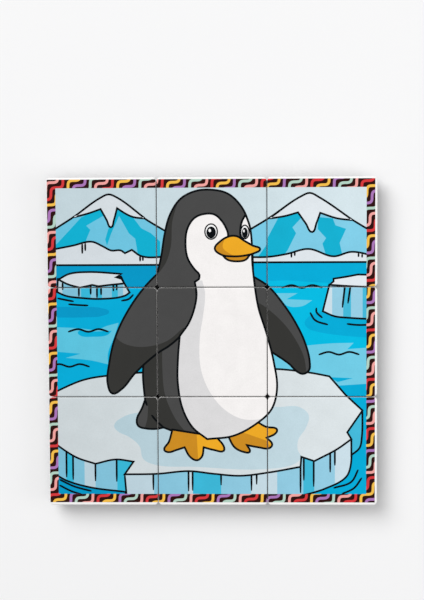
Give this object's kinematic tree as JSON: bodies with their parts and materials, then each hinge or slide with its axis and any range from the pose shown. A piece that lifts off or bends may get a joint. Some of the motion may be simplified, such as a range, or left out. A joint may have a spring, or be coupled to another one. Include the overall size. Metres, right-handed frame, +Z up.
{
  "type": "sliding tile puzzle",
  "caption": "Flat square sliding picture puzzle: magnet-held square tiles lie flush, edge to edge, and slide on a hidden slotted steel-backed base.",
  "frame": {"origin": "centre of the rest face, on the underside of the non-slip pad", "axes": "+Z up through the tiles' printed tops, +Y towards the top of the picture, +X towards its right"},
  "size_m": [0.1196, 0.1196, 0.0096],
  "materials": {
    "white_plastic": "satin moulded plastic with a printed picture on the tiles' tops",
    "black_plastic": "fine spark-eroded texture",
    "sheet_steel": "cold-rolled sheet, zinc plated",
    "screw_steel": "plated, flat head with a cross slot",
    "nickel_plate": "nickel-plated disc magnet",
    "pad_rubber": "matt rubber sheet"
  },
  "bodies": {
    "base": {"base_tray": "black_plastic", "base_cover": "black_plastic", "steel_plate": "sheet_steel", "cover_screws": "screw_steel", "non_slip_pad": "pad_rubber"},
    "tile_top_left": {"cap_top_left": "white_plastic", "glide_top_left": "black_plastic", "magnet_top_left": "nickel_plate"},
    "tile_top": {"cap_top": "white_plastic", "glide_top": "black_plastic", "magnet_top": "nickel_plate"},
    "tile_top_right": {"cap_top_right": "white_plastic", "glide_top_right": "black_plastic", "magnet_top_right": "nickel_plate"},
    "tile_left": {"cap_left": "white_plastic", "glide_left": "black_plastic", "magnet_left": "nickel_plate"},
    "tile_centre": {"cap_centre": "white_plastic", "glide_centre": "black_plastic", "magnet_centre": "nickel_plate"},
    "tile_right": {"cap_right": "white_plastic", "glide_right": "black_plastic", "magnet_right": "nickel_plate"},
    "tile_bottom_left": {"cap_bottom_left": "white_plastic", "glide_bottom_left": "black_plastic", "magnet_bottom_left": "nickel_plate"},
    "tile_bottom": {"cap_bottom": "white_plastic", "glide_bottom": "black_plastic", "magnet_bottom": "nickel_plate"},
    "tile_bottom_right": {"cap_bottom_right": "white_plastic", "glide_bottom_right": "black_plastic", "magnet_bottom_right": "nickel_plate"}
  },
  "joints": [
    {"name": "top_left_slide", "type": "slide", "parent": "base", "child": "tile_top_left", "axis": [-1, 0, 0], "range_m": [0, 0.0145]},
    {"name": "top_slide", "type": "slide", "parent": "base", "child": "tile_top", "axis": [0, 1, 0], "range_m": [0, 0.0145]},
    {"name": "top_right_slide", "type": "slide", "parent": "base", "child": "tile_top_right", "axis": [1, 0, 0], "range_m": [0, 0.0145]},
    {"name": "left_slide", "type": "slide", "parent": "base", "child": "tile_left", "axis": [-1, 0, 0], "range_m": [0, 0.0145]},
    {"name": "centre_lift", "type": "slide", "parent": "base", "child": "tile_centre", "axis": [0, 0, 1], "range_m": [0, 0.02]},
    {"name": "right_slide", "type": "slide", "parent": "base", "child": "tile_right", "axis": [1, 0, 0], "range_m": [0, 0.0145]},
    {"name": "bottom_left_slide", "type": "slide", "parent": "base", "child": "tile_bottom_left", "axis": [-1, 0, 0], "range_m": [0, 0.0145]},
    {"name": "bottom_slide", "type": "slide", "parent": "base", "child": "tile_bottom", "axis": [0, -1, 0], "range_m": [0, 0.0145]},
    {"name": "bottom_right_slide", "type": "slide", "parent": "base", "child": "tile_bottom_right", "axis": [1, 0, 0], "range_m": [0, 0.0145]}
  ]
}
